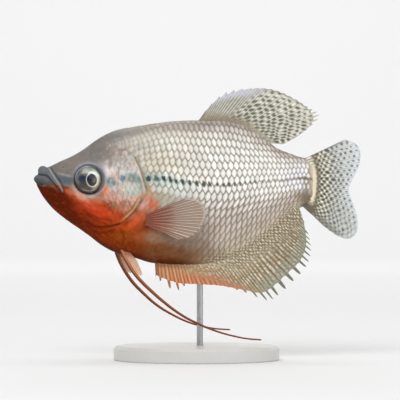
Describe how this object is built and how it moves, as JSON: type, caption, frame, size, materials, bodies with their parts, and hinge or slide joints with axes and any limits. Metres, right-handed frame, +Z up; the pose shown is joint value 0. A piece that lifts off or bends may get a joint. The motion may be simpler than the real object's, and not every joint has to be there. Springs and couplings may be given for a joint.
{
  "type": "pearl gourami display model",
  "caption": "Life-size still model of a deep-bodied aquarium fish with long thread-like pelvic feelers, held level on a rod over an oval base",
  "frame": {"origin": "centre of the underside of the stand's base, which is also the middle of the model seen from above", "axes": "X runs from the snout to the tail fin, Z is up from the floor the base stands on, and Y runs across the fish with its left side at -Y"},
  "size_m": [0.1144, 0.04, 0.0953],
  "materials": {
    "face_skin": "smooth moist skin, orange-red throat and olive-grey forehead",
    "flank_skin": "pearly scaled skin with a dark spotted band along the flank",
    "fin_skin": "thin ribbed fin skin with light and dark spots",
    "feeler_skin": "smooth orange-brown skin",
    "eye_gloss": "wet gloss with a dark pupil",
    "base_paint": "satin white paint",
    "rod_steel": "brushed steel"
  },
  "bodies": {
    "root": {"upper_jaw": "face_skin", "lower_jaw": "face_skin", "head": "face_skin", "gill_cover_left": "face_skin", "gill_cover_right": "face_skin", "eye_left": "eye_gloss", "eye_right": "eye_gloss", "torso": "flank_skin", "tail_stalk": "flank_skin", "dorsal_fin": "fin_skin", "anal_fin": "fin_skin", "tail_fin": "fin_skin", "pectoral_fin_left": "fin_skin", "pectoral_fin_right": "fin_skin", "pelvic_fin_left": "feeler_skin", "pelvic_fin_right": "feeler_skin", "feeler_left_middle": "feeler_skin", "feeler_left_tip": "feeler_skin", "feeler_right_middle": "feeler_skin", "feeler_right_tip": "feeler_skin", "stand_base": "base_paint", "stand_rod": "rod_steel"}
  },
  "joints": []
}
